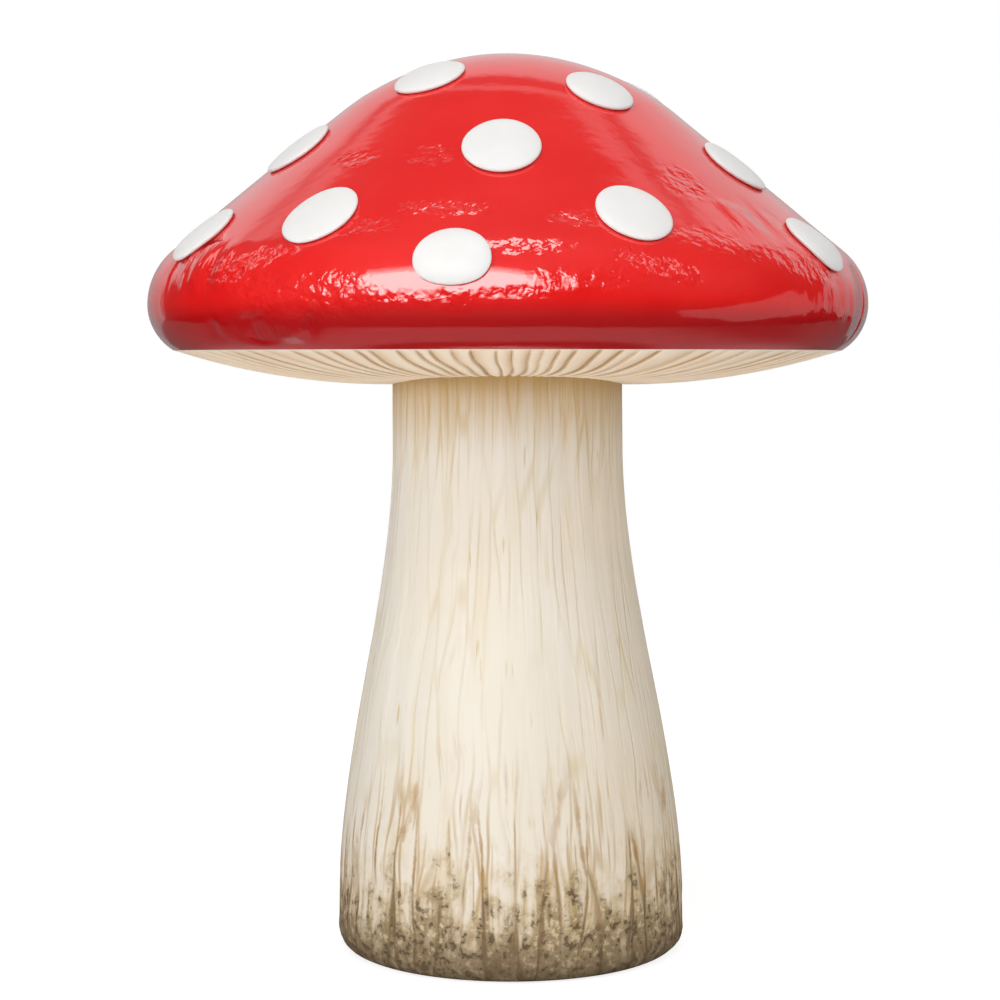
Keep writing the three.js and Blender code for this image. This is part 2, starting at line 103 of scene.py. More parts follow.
RANDOM_PATCH_STRENGTH = 0.4
RANDOM_PATCH_CELL = 0.09
RANDOM_PATCH_LEVELS = (0.52, 0.70)  # the noise at which a random patch starts and is full
RANDOM_PATCH_AZIMUTHS = (80.0, 105.0)  # the random patches fade in between these, on either side
RANDOM_PATCH_PLACES = (0.40, 0.60)  # and between these down the cap
FLOW_RADIUS = 0.30  # the streaks' pattern is laid out on a cylinder of this radius

# Gills
GILL_COUNT = 86
GILL_CROWDING = 0.32  # how much closer together the gills are in front
GILL_JITTER = 0.32  # how far a groove may be off its even place, as a share of the pitch
GILL_BEND = 0.3  # how far a groove wanders on its way, as a share of the pitch
GILL_BEND_CELL = 0.06
GILL_DEPTH = 0.0032
GILL_SHALLOWEST = 0.35  # share of the full depth that every groove has
GILL_STEP = 0.0024  # how far each blade laps over the next
GILL_GROOVE_WIDTH = 0.0018
GILL_BORDER = 0.010  # band inside the red edge, where the relief fades out
GILL_BORDER_PLAIN = 0.4  # share of that band that is plain
GILL_FADE = 0.3  # how much lower the relief is at the outside than at the stem, as a share
GILL_DROP = 0.0345
GILL_ARCH = 0.012
GILL_GAP = 0.0003
GILL_BACK_INSET = 0.002
GILL_BACK_BEND_RADIUS = 0.27
GILL_BACK_BEND_HEIGHT = 0.5985
GILL_BACK_FLAT_RADIUS = 0.20
HUB_RADIUS = 0.150
HUB_RISE = 0.021  # seat of the cap board above the lowest gills
STEM_HOLE_CLEARANCE = 0.0005

# Stem
NECK_RADIUS = 0.116
FOOT_RADIUS = 0.175
FOOT_ROUND = 0.020
FOOT_LIP = 0.027
TAPER_START = 0.0506
NECK_LENGTH = 0.084
STEM_SWAY = 0.003  # how far the foot leans out of line, towards +X
SWAY_HEIGHT = 0.5  # the stem is in line from here up
STEM_EXTRA_WALL = 0.003  # how much thicker the wall is drawn than the laminate
GRAIN_RADIUS = 0.145  # the grain's pattern is laid out on a cylinder of this radius
GRAIN_WANDER = 0.012
GRAIN_WANDER_CELL = (0.06, 0.06, 0.09)
RIDGE_HEIGHT = 0.0030
RIDGE_CELL = (0.021, 0.021, 0.33)
EARTH_HEIGHT = 0.0026
EARTH_CELL = (0.016, 0.016, 0.022)
EARTH_FADE = (0.13, 0.03)  # the rough earth fades in between these, downwards
EARTH_EDGE_WANDER = 0.08
EARTH_EDGE_CELL = (0.02, 0.02, 0.2)
FLAT_FOOT = 0.012  # the relief fades out over this height above the floor

# Spots: azimuth, place along the cap, width as a share of the usual diameter, and length down the cap as a
# share of that width
SPOT_DIAMETER = 0.072
SPOT_HEIGHT = 0.007
SPOT_SIDE = 0.28  # share of the height that is side
SPOT_EDGE = [(0.99, 0.12), (0.965, 0.0), (0.6, 0.0), (0.0, 0.0)]  # shares of radius and height, lower down
SPOT_LIFT = 0.0008
SPOT_EVENING = 0.4  # share of the cap's ripple that the top of a spot evens out
SPOT_FULLNESS = 0.9  # 1 is an elliptic dome, and less is a flatter top with steeper sides
SPOT_WAVE = 0.006  # unevenness of the outline, as a share of the radius
SPOT_DROOP = {12: 0.2}  # how far a spot's widest line sits below its middle, in shares of half its length
SPOTS = [
    (160, 0.196, 0.97, 1.00),
    (-34.5, 0.301, 0.97, 1.00),
    (34, 0.362, 0.94, 1.00),
    (108, 0.327, 1.03, 1.00),
    (178, 0.414, 0.97, 1.00),
    (-110, 0.344, 1.00, 1.00),
    (-1.5, 0.575, 1.00, 1.15),
    (63.5, 0.606, 1.00, 1.00),
    (124, 0.615, 0.97, 1.00),
    (-154, 0.584, 1.03, 1.00),
    (-66, 0.545, 1.00, 1.00),
    (-8, 0.915, 0.96, 0.82),
    (21, 0.796, 0.97, 1.14),
    (59.5, 0.862, 0.95, 1.00),
    (104, 0.741, 0.97, 1.00),
    (130, 0.898, 1.03, 1.00),
    (148, 0.780, 1.00, 1.00),
    (176, 0.889, 0.97, 1.00),
    (-157, 0.837, 1.00, 1.00),
    (-127, 0.907, 1.03, 1.00),
    (-124, 0.632, 0.92, 1.00),
    (-102, 0.796, 1.00, 1.00),
    (-63, 0.833, 1.00, 1.00),
    (-33, 0.797, 1.00, 1.12),
]

# Mesh density
CAP_COLUMNS = 300
CAP_ROWS = 120
CAP_INNER_ROWS = 24
GILL_COLUMNS = 1600
GILL_ROWS = 28
STEM_COLUMNS = 240
STEM_ROWS = 190
STEM_INNER_ROWS = 30
FOOT_ROWS = 10
RING_ROWS = 2
SPOT_COLUMNS = 48
SPOT_ROWS = 12
SHARP_ANGLE = math.radians(60)
WELD_DISTANCE = 1e-6
LANDING_STEPS = 5  # tries for a spot's points to come down on the cap

# Seeds of the random values
NOISE_SEED = 11
GILL_SEED = 5
SPOT_SEED = 100

# Colours of the cap, the spots and the gills
RED = (0.78, 0.008, 0.007)
RED_LIGHT = (0.83, 0.013, 0.010)
# painted shade for the underside of the rim
RED_UNDER_PAINTED_SHADE = (0.40, 0.003, 0.005)
WHITE = (0.755, 0.745, 0.73)
WHITE_LIGHT = (0.78, 0.77, 0.755)
CREAM = (0.93, 0.735, 0.55)
CREAM_LIGHT = (0.945, 0.80, 0.625)
CREAM_BORDER = (0.92, 0.84, 0.70)
# painted shade on one side of each gill blade
GILL_PAINTED_SHADE = (0.74, 0.48, 0.25)
# tan lines in the gill grooves, deepened as painted shade
GILL_GROOVE_TAN_AND_SHADE = (0.50, 0.30, 0.12)

# Colours of the stem
IVORY = (0.87, 0.82, 0.735)
IVORY_WARM = (0.86, 0.79, 0.675)
# painted shade, darker towards the foot
IVORY_LOW_PAINTED_SHADE = (0.66, 0.58, 0.46)
# painted shade on the +X side
IVORY_RIGHT_PAINTED_SHADE = (0.84, 0.68, 0.46)
GRAIN_BROAD = (0.76, 0.64, 0.41)
GRAIN_LINE = (0.65, 0.50, 0.25)
GRAIN_CREASE = (0.64, 0.51, 0.24)
GRAIN_DASH = (0.65, 0.46, 0.16)
# tan colour with the cap's shadow painted in, under the cap
NECK_TAN_AND_SHADOW = (0.65, 0.415, 0.13)
NECK_BROWN_AND_SHADOW = (0.53, 0.305, 0.075)
OCHRE_RUN = (0.43, 0.235, 0.07)
FOOT_TAN = (0.60, 0.44, 0.225)
FOOT_BROWN = (0.135, 0.088, 0.042)
EARTH_DARK = (0.105, 0.067, 0.030)
EARTH = (0.30, 0.205, 0.10)
EARTH_CHIP = (0.65, 0.515, 0.325)
EARTH_PIT = (0.175, 0.105, 0.042)

# Colours of the pieces inside
WOOD_DARK = (0.42, 0.23, 0.10)
WOOD_LIGHT = (0.60, 0.40, 0.20)
ZINC_DARK = (0.52, 0.53, 0.55)
ZINC_LIGHT = (0.66, 0.67, 0.69)
RESIN_DARK = (0.44, 0.42, 0.27)
RESIN_LIGHT = (0.56, 0.52, 0.36)
GLASS_THREAD = (0.66, 0.64, 0.50)

# Camera, with its focal length and the horizon in pixels of the picture
PICTURE_WIDTH = 1000
FOCAL_LENGTH = 2400
HORIZON_RISE = 140  # how far the horizon lies above the middle of the picture
SENSOR_WIDTH = 36.0  # in mm
CAMERA_PLACE = (-0.0076, -2.429, 0.5955)

# Lamps: name, azimuth, elevation, distance, width, height, radiance, and whether a lamp only shades or is
# only mirrored
SHADES = {"shine": False}
SHINES = {"shade": False}
SHINES_ROUND = {"shade": False, "is_round": True}
SHINES_ROLLED = {"shade": False, "roll": 36}
LAMPS = [
    ("key", -20, 24, 2.6, 2.6, 1.9, 1.44, SHADES),
    ("overhead", -10, 66, 2.4, 3.0, 2.4, 2.08, SHADES),
    ("fill", -28, -4, 2.4, 2.6, 0.5, 0.5, SHADES),
    ("left", -65, 10, 2.4, 2.0, 1.2, 1.85, SHADES),
    ("right", 62, 20, 2.4, 2.0, 1.2, 2.05, SHADES),
    ("bounce", -15, -26, 1.25, 1.8, 0.2, 2.1, SHADES),
    ("shine_outer", -19, 24, 2.6, 3.4, 2.0, 1.2, SHINES_ROUND),
    ("shine_inner", -19, 25, 2.55, 3.0, 1.5, 1.4, SHINES_ROUND),
    ("shine_core", -20, 25, 2.5, 2.4, 1.15, 2.45, SHINES_ROUND),
    ("shine_top", -5, 82, 2.0, 0.7, 0.5, 3.8, SHINES),
    ("shine_side", 80, -12, 1.3, 1.2, 0.5, 0.3, SHINES_ROLLED),
    ("shine_right", 58, 42, 2.2, 0.18, 1.2, 1.6, SHINES),
    ("shine_left", -108, 38, 2.2, 0.30, 0.9, 1.2, SHINES),
]
LAMP_TARGET = (0.0, -0.15, 0.60)
FLOOR_REACH = 3.0


# Random shapes

NOISE_CELLS = 64
noise_table = np.random.default_rng(NOISE_SEED).random((NOISE_CELLS, NOISE_CELLS, NOISE_CELLS))


def smoothstep(low, high, values):
    share = np.clip((values - low) / (high - low), 0.0, 1.0)
    return share * share * (3.0 - 2.0 * share)


def noise(points, cell, shift=0.0):
    """Smooth random values from 0 to 1 at points, for one cell size or a size along each axis."""
    where = np.asarray(points) / np.asarray(cell) + shift
    corner = np.floor(where).astype(int)
    share = where - corner
    share = share**3 * (share * (share * 6.0 - 15.0) + 10.0)
    total = np.zeros(where.shape[:-1])
    for step in np.ndindex(2, 2, 2):
        weight = np.ones(where.shape[:-1])
        for axis in range(3):
            weight = weight * (share[..., axis] if step[axis] else 1.0 - share[..., axis])
        index = tuple((corner[..., axis] + step[axis]) % NOISE_CELLS for axis in range(3))
        total += weight * noise_table[index]
    return total


def fractal(points, cell, octaves, shift=0.0):
    """Noise summed over finer and finer cells, from 0 to 1."""
    total = 0.0
    reach = 0.0
    for octave in range(octaves):
        weight = 0.5**octave
        total = total + weight * noise(points, np.asarray(cell) * weight, shift + 7.3 * octave)
        reach += weight
    return total / reach


# Meshes


def skin(name, rows, close_rows=False, close_columns=True, cap_ends=False, values=None):
    """Makes a piece from a grid of points, with named values stored on the points."""
    row_count, column_count = rows.shape[:2]
    index = np.arange(row_count * column_count).reshape(row_count, column_count)
    if close_rows:
        index = np.vstack([index, index[:1]])
    if close_columns:
        index = np.hstack([index, index[:, :1]])
    quads = np.stack([index[:-1, :-1], index[:-1, 1:], index[1:, 1:], index[1:, :-1]], axis=-1)
    faces = quads.reshape(-1, 4).tolist()
    if cap_ends:
        faces.append(index[:-1, 0].tolist())
        faces.append(index[:-1, -1].tolist())
    mesh = bpy.data.meshes.new(name)
    mesh.from_pydata(rows.reshape(-1, 3).tolist(), [], faces)
    for key, grid in (values or {}).items():
        is_vector = grid.ndim == 3
        layer = mesh.attributes.new(key, "FLOAT_VECTOR" if is_vector else "FLOAT", "POINT")
        layer.data.foreach_set("vector" if is_vector else "value", grid.astype(np.float32).ravel())
    work = bmesh.new()
    work.from_mesh(mesh)
    bmesh.ops.remove_doubles(work, verts=work.verts, dist=WELD_DISTANCE)
    bmesh.ops.recalc_face_normals(work, faces=work.faces)
    work.to_mesh(mesh)
    work.free()
    mesh.shade_smooth()
    mesh.set_sharp_from_angle(angle=SHARP_ANGLE)
    piece = bpy.data.objects.new(name, mesh)
    bpy.context.scene.collection.objects.link(piece)
    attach(piece, "root")
    return piece


def dress(piece, slot, material, *nodes):
    """Gives a piece its material and hides the solids it stands for. The slot is not used."""
    piece.data.materials.append(material)
    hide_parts(*nodes)


def turned_rows(r, z, azimuths):
    """Grid of points for a section turned about the Z axis, one row for each point of the section."""
    r = np.asarray(r)[:, None]
    z = np.asarray(z)[:, None] + 0.0 * azimuths
    return np.stack([r * np.sin(azimuths), -r * np.cos(azimuths), z], axis=-1)


# Node trees


class Nodes:
    """Short ways to make the nodes of a tree."""

    def __init__(self, tree):
        self.tree = tree

    def add(self, kind, **settings):
        made = self.tree.nodes.new(kind)
        for key, value in settings.items():
            setattr(made, key, value)
        return made

    def feed(self, socket, value):
        """Links a socket's source, or sets its value."""
        if isinstance(value, bpy.types.NodeSocket):
            self.tree.links.new(value, socket)
        else:
            socket.default_value = value

    def math(self, operation, *values):
        made = self.add("ShaderNodeMath", operation=operation)
        for socket, value in zip(made.inputs, values):
            self.feed(socket, value)
        return made.outputs[0]

    def ramp(self, value, low, high, start=0.0, end=1.0):
        """Smooth step of a value from low to high."""
        made = self.add("ShaderNodeMapRange", interpolation_type="SMOOTHSTEP")
        self.feed(made.inputs["Value"], value)
        made.inputs["From Min"].default_value = low
        made.inputs["From Max"].default_value = high
        made.inputs["To Min"].default_value = start
        made.inputs["To Max"].default_value = end
        return made.outputs["Result"]

    def axes(self, vector):
        made = self.add("ShaderNodeSeparateXYZ")
        self.feed(made.inputs[0], vector)
        return made.outputs


class Paint(Nodes):
    """A procedural material, with its patterns laid out by place."""

    def __init__(self, name):
        self.material = bpy.data.materials.new(name)
        self.material.use_nodes = True
        super().__init__(self.material.node_tree)
        self.shader = self.tree.nodes["Principled BSDF"]
        self.place = self.add("ShaderNodeTexCoord").outputs["Object"]

    def stored(self, key, output="Fac"):
        """A value or, by its output, a vector that the mesh holds on its points."""
        return self.add("ShaderNodeAttribute", attribute_name=key).outputs[output]

    def axis(self, name):
        return self.axes(self.place)[name]

    def scaled(self, vector, scale):
        made = self.add("ShaderNodeMapping")
        self.feed(made.inputs["Vector"], vector)
        made.inputs["Scale"].default_value = scale
        return made.outputs["Vector"]

    def noise(self, scale, detail=3.0, roughness=0.55, distortion=0.0):
        """Noise with a number of cells per metre along each axis."""
        made = self.add("ShaderNodeTexNoise")
        self.feed(made.inputs["Vector"], self.scaled(self.place, scale))
        made.inputs["Scale"].default_value = 1.0
        made.inputs["Detail"].default_value = detail
        made.inputs["Roughness"].default_value = roughness
        made.inputs["Distortion"].default_value = distortion
        return made.outputs["Fac"]

    def swell(self, scale, height, **settings):
        """Noise of a height about zero, so that a patch of it stands neither above nor below the rest."""
        return self.math("MULTIPLY", self.math("SUBTRACT", self.noise(scale, **settings), 0.5), height)

    def edges(self, pattern, across, along):
        """Distance from the borders of random flat cells, with a number of cells per metre each way."""
        made = self.add("ShaderNodeTexVoronoi", feature="DISTANCE_TO_EDGE", voronoi_dimensions="2D")
        self.feed(made.inputs["Vector"], self.scaled(pattern, (across, along, 1.0)))
        made.inputs["Scale"].default_value = 1.0
        return made.outputs["Distance"]

    def blend(self, share, first, second):
        made = self.add("ShaderNodeMix", data_type="RGBA")
        self.feed(made.inputs["Factor"], share)
        for key, value in (("A_Color", first), ("B_Color", second)):
            socket = next(s for s in made.inputs if s.identifier == key)
            self.feed(socket, value if isinstance(value, bpy.types.NodeSocket) else (*value, 1.0))
        return next(s for s in made.outputs if s.identifier == "Result_Color")

    def bump(self, value, distance):
        made = self.add("ShaderNodeBump")
        made.inputs["Distance"].default_value = distance
        made.inputs["Strength"].default_value = 1.0
        self.feed(made.inputs["Height"], value)
        self.feed(self.shader.inputs["Normal"], made.outputs["Normal"])
        return made.outputs["Normal"]

    def finish(self, colour, roughness, **sockets):
        self.feed(self.shader.inputs["Base Color"], colour)
        self.feed(self.shader.inputs["Roughness"], roughness)
        for key, value in sockets.items():
            self.feed(self.shader.inputs[key.replace("_", " ")], value)
        return self.material


def red_gelcoat():
    paint = Paint("red_gelcoat")
    cloud = paint.noise((9, 9, 9), detail=2)
    colour = paint.blend(paint.ramp(cloud, 0.35, 0.7), RED, RED_LIGHT)
    # Painted shade: the red darkens where the rim turns under
    under_rim_painted_shade = paint.ramp(paint.axis("Z"), 0.654, 0.626, 0.0, 0.95)
    colour = paint.blend(under_rim_painted_shade, colour, RED_UNDER_PAINTED_SHADE)
    peel = paint.swell((130, 130, 130), 1.0, detail=1.5, roughness=0.5, distortion=0.3)
    ripple = paint.swell((60, 60, 60), 1.5, detail=1)
    patch = paint.ramp(paint.stored("crinkle"), 0.1, 0.9, 0.05, 1.0)
    crinkle = paint.math("MULTIPLY", paint.math("ADD", peel, ripple), patch)
    paint.place = paint.stored("flow", "Vector")
    wave = paint.swell((110, 110, 30), 0.6, detail=1, distortion=0.5)
    fold = paint.swell((38, 38, 8), 6.0, detail=0, distortion=0.4)
    weight = paint.ramp(paint.stored("streak"), 0.1, 0.9)
    streak = paint.math("MULTIPLY", paint.math("ADD", wave, fold), weight)
    normal = paint.bump(paint.math("ADD", crinkle, streak), distance=0.0018)
    roughness = paint.ramp(cloud, 0.3, 0.7, 0.3, 0.4)
    return paint.finish(
        colour,
        roughness,
        Specular_IOR_Level=0.1,
        Coat_Weight=1.0,
        Coat_Roughness=0.09,
        Coat_IOR=2.0,
        Coat_Normal=normal,
    )


def white_resin():
    paint = Paint("white_resin")
    cloud = paint.noise((35, 35, 35), detail=3)
    colour = paint.blend(paint.ramp(cloud, 0.3, 0.75), WHITE, WHITE_LIGHT)
    paint.bump(paint.noise((120, 120, 120), detail=2), distance=0.0001)
    roughness = paint.ramp(cloud, 0.3, 0.7, 0.30, 0.38)
    return paint.finish(colour, roughness, Coat_Weight=0.03, Specular_IOR_Level=0.08)


def cream_gills():
    paint = Paint("cream_gills")
    cloud = paint.noise((14, 14, 14), detail=3)
    base = paint.blend(paint.ramp(cloud, 0.3, 0.7), CREAM, CREAM_LIGHT)
    # Painted shade: each blade darkens towards one side, as if shaded by the next
    shade = paint.ramp(paint.stored("slope"), 0.35, 1.0, 0.0, 0.8)
    colour = paint.blend(shade, base, GILL_PAINTED_SHADE)
    # The grooves take a tan line, deepened as painted shade
    groove = paint.ramp(paint.stored("groove"), 0.15, 0.85, 0.0, 0.95)
    colour = paint.blend(groove, colour, GILL_GROOVE_TAN_AND_SHADE)
    colour = paint.blend(paint.stored("border"), colour, CREAM_BORDER)
    paint.bump(paint.noise((190, 190, 190), detail=3), distance=0.0004)
    return paint.finish(colour, paint.ramp(cloud, 0.3, 0.7, 0.45, 0.6))


def stem_paint():
    paint = Paint("stem_paint")
    paint.place = paint.stored("grain", "Vector")
    z = paint.axis("Z")
    cloud = paint.noise((9, 9, 5), detail=2)
    broad = paint.noise((62, 62, 3.5), detail=3, roughness=0.5)
    line = paint.noise((180, 180, 8), detail=2, roughness=0.5, distortion=0.25)
    dash = paint.noise((125, 125, 15), detail=2, roughness=0.5)
    fleck = paint.noise((70, 70, 45), detail=3, roughness=0.6)
    grit = paint.noise((140, 140, 120), detail=4, roughness=0.65)
    uneven = paint.noise((30, 30, 9), detail=1)
    unrolled = paint.stored("unrolled", "Vector")
    strength = paint.ramp(uneven, 0.36, 0.64, 0.1, 1.0)
    crease = paint.math("MULTIPLY", paint.ramp(paint.edges(unrolled, 62, 6), 0.12, 0.0), strength)
    ragged = paint.math("ADD", paint.edges(unrolled, 48, 3.5), paint.ramp(fleck, 0.3, 0.7, -0.04, 0.04))
    run = paint.math("MULTIPLY", paint.ramp(ragged, 0.09, 0.0), paint.ramp(uneven, 0.38, 0.54))

    # Ivory with long faint streaks and creases, and painted shade towards the foot and on the +X side
    colour = paint.blend(paint.ramp(cloud, 0.35, 0.7), IVORY, IVORY_WARM)
    # Painted shade: the ivory dulls towards the foot
    colour = paint.blend(paint.ramp(z, 0.40, 0.14, 0.0, 0.32), colour, IVORY_LOW_PAINTED_SHADE)
    colour = paint.blend(paint.ramp(broad, 0.5, 0.75, 0.0, 0.32), colour, GRAIN_BROAD)
    colour = paint.blend(paint.ramp(line, 0.58, 0.76, 0.0, 0.28), colour, GRAIN_LINE)
    colour = paint.blend(paint.math("MULTIPLY", crease, 0.32), colour, GRAIN_CREASE)
    colour = paint.blend(paint.ramp(dash, 0.68, 0.76, 0.0, 0.65), colour, GRAIN_DASH)
    # Painted shade: the +X side is warmer and darker
    colour = paint.blend(paint.ramp(paint.axis("X"), 0.02, 0.15, 0.0, 0.4), colour, IVORY_RIGHT_PAINTED_SHADE)

    # Tan colour and the cap's painted shadow under the cap, drawn out along the grain
    top = paint.math("ADD", z, paint.ramp(broad, 0.3, 0.7, -0.008, 0.008))
    top = paint.math("ADD", top, paint.ramp(line, 0.3, 0.7, -0.012, 0.012))
    top = paint.math("ADD", top, paint.math("MULTIPLY", crease, 0.025))
    colour = paint.blend(paint.ramp(top, 0.49, 0.60, 0.0, 0.8), colour, NECK_TAN_AND_SHADOW)
    colour = paint.blend(paint.ramp(z, 0.555, 0.588, 0.0, 0.75), colour, NECK_BROWN_AND_SHADOW)

    # Ochre runs that start thin and darken downwards
    low = paint.math("ADD", z, paint.ramp(broad, 0.3, 0.7, 0.018, -0.018))
    low = paint.math("ADD", low, paint.ramp(line, 0.3, 0.7, 0.014, -0.014))
    runs = paint.math("MAXIMUM", run, paint.ramp(line, 0.56, 0.70, 0.0, 0.7))
    runs = paint.math("MAXIMUM", runs, paint.math("MULTIPLY", crease, 0.7))
    runs = paint.math("MULTIPLY", paint.ramp(low, 0.23, 0.11), runs)
    colour = paint.blend(runs, colour, OCHRE_RUN)

    # Grey-brown earth that thickens towards the floor, with pits, chips and dark ends of the runs
    low = paint.math("ADD", low, paint.ramp(fleck, 0.3, 0.7, 0.028, -0.028))
    colour = paint.blend(paint.ramp(low, 0.15, 0.045, 0.0, 0.75), colour, FOOT_TAN)
    dirt = paint.ramp(low, 0.10, 0.028)
    earth = paint.blend(paint.ramp(grit, 0.36, 0.50), EARTH_DARK, EARTH)
    earth = paint.blend(paint.ramp(grit, 0.54, 0.64), earth, EARTH_CHIP)
    colour = paint.blend(paint.math("MULTIPLY", dirt, 0.85), colour, earth)
    pits = paint.math("MULTIPLY", paint.ramp(grit, 0.44, 0.36), paint.ramp(low, 0.115, 0.045))
    ends = paint.math("MULTIPLY", run, paint.ramp(low, 0.14, 0.06, 0.0, 0.9))
    dark = paint.math("MAXIMUM", pits, ends)
    colour = paint.blend(paint.math("MULTIPLY", dark, 0.85), colour, EARTH_PIT)
    colour = paint.blend(paint.ramp(z, 0.06, 0.0, 0.0, 0.7), colour, FOOT_BROWN)

    relief = paint.math("ADD", paint.math("MULTIPLY", line, -0.5), paint.math("MULTIPLY", grit, dirt))
    relief = paint.math("SUBTRACT", relief, paint.math("MULTIPLY", crease, 0.4))
    relief = paint.math("SUBTRACT", relief, dark)
    paint.bump(relief, distance=0.0012)
    return paint.finish(colour, paint.ramp(cloud, 0.3, 0.7, 0.62, 0.78))


def plywood():
    paint = Paint("plywood")
    grain = paint.noise((6, 90, 300), detail=4, distortion=0.6)
    colour = paint.blend(paint.ramp(grain, 0.3, 0.7), WOOD_DARK, WOOD_LIGHT)
    paint.bump(grain, distance=0.0004)
    return paint.finish(colour, paint.ramp(grain, 0.3, 0.7, 0.7, 0.85))


def zinc_steel():
    paint = Paint("zinc_steel")
    cloud = paint.noise((140, 140, 140), detail=4)
    colour = paint.blend(paint.ramp(cloud, 0.3, 0.7), ZINC_DARK, ZINC_LIGHT)
    paint.bump(paint.noise((900, 900, 900), detail=2), distance=0.0001)
    return paint.finish(colour, paint.ramp(cloud, 0.3, 0.7, 0.3, 0.5), Metallic=1.0)


def glass_tape():
    paint = Paint("glass_tape")
    weave = paint.add("ShaderNodeTexChecker")
    paint.feed(weave.inputs["Vector"], paint.scaled(paint.place, (400, 400, 400)))
    weave.inputs["Scale"].default_value = 1.0
    cloud = paint.noise((45, 45, 45), detail=3)
    colour = paint.blend(paint.ramp(cloud, 0.3, 0.7), RESIN_DARK, RESIN_LIGHT)
    colour = paint.blend(paint.math("MULTIPLY", weave.outputs["Fac"], 0.25), colour, GLASS_THREAD)
    paint.bump(weave.outputs["Fac"], distance=0.0003)
    return paint.finish(colour, paint.ramp(cloud, 0.3, 0.7, 0.35, 0.55))


# Cap

crown_height = FIGURE_HEIGHT - CROWN_RADIUS
rim_top_r = CAP_RADIUS - RIM_TOP_RADIUS
rim_under_r = CAP_RADIUS - RIM_UNDER_RADIUS
centres_apart = math.hypot(rim_top_r, RIM_HEIGHT - crown_height)
centres_tilt = math.atan2(RIM_HEIGHT - crown_height, rim_top_r)
flank_slope = math.asin((CROWN_RADIUS - RIM_TOP_RADIUS) / centres_apart) - centres_tilt
crown_length = CROWN_RADIUS * flank_slope
flank_length = math.sqrt(centres_apart**2 - (CROWN_RADIUS - RIM_TOP_RADIUS) ** 2)
cap_reach = crown_length + flank_length + RIM_TOP_RADIUS * (math.pi / 2 - flank_slope)
lip_reach = cap_reach + RIM_UNDER_RADIUS * RIM_UNDER_ANGLE


def cap_section(distance):
    """Radius, height and normal's angle of the cap at a distance along it from the crown."""
    distance = np.asarray(distance, dtype=float)
    on_crown = distance <= crown_length
    on_flank = distance <= crown_length + flank_length
    on_top = distance <= cap_reach
    past_crown = distance - crown_length
    angle = np.select(
        [on_crown, on_flank, on_top],
        [
            distance / CROWN_RADIUS,
            flank_slope + 0.0 * distance,
            flank_slope + (past_crown - flank_length) / RIM_TOP_RADIUS,
        ],
        math.pi / 2 + (distance - cap_reach) / RIM_UNDER_RADIUS,
    )
    flank_r = CROWN_RADIUS * math.sin(flank_slope) + past_crown * math.cos(flank_slope)
    flank_z = crown_height + CROWN_RADIUS * math.cos(flank_slope) - past_crown * math.sin(flank_slope)
    r = np.select(
        [on_crown, on_flank, on_top],
        [CROWN_RADIUS * np.sin(angle), flank_r, rim_top_r + RIM_TOP_RADIUS * np.sin(angle)],
        rim_under_r + RIM_UNDER_RADIUS * np.sin(angle),
    )
    z = np.select(
        [on_crown, on_flank, on_top],
        [crown_height + CROWN_RADIUS * np.cos(angle), flank_z, RIM_HEIGHT + RIM_TOP_RADIUS * np.cos(angle)],
        RIM_HEIGHT + RIM_UNDER_RADIUS * np.cos(angle),
    )
    return r, z, angle


def cap_ripple(points):
    """How far the hand-laid surface stands off the true shape."""
    swell = fractal(points, SWELL_CELL, 2, 3.0) - 0.5
    dimple = fractal(points, DIMPLE_CELL, 2, 9.0) - 0.5
    return SWELL_HEIGHT * swell + DIMPLE_HEIGHT * dimple


def patch_weights(patches, azimuths, along, points):
    """How uneven the gelcoat is: at the patches in front, and at random low on the sides and back."""
    degrees = np.mod(np.degrees(azimuths) + 180.0, 360.0) - 180.0
    random_patches = smoothstep(*RANDOM_PATCH_LEVELS, fractal(points, RANDOM_PATCH_CELL, 2, 5.0))
    weights = RANDOM_PATCH_STRENGTH * random_patches
    weights = weights * smoothstep(*RANDOM_PATCH_AZIMUTHS, np.abs(degrees))
    weights = weights * smoothstep(*RANDOM_PATCH_PLACES, along)[:, None]
    for azimuth, place, reach, length in patches:
        apart = ((degrees - azimuth) / reach) ** 2 + ((along[:, None] - place) / length) ** 2
        weights = weights + PATCH_STRENGTH * np.exp(-apart)
    grain = PATCH_WEAKEST + (PATCH_STRONGEST - PATCH_WEAKEST) * fractal(points, PATCH_GRAIN, 2, 1.0)
    return np.clip(weights * grain, 0.0, 1.0)


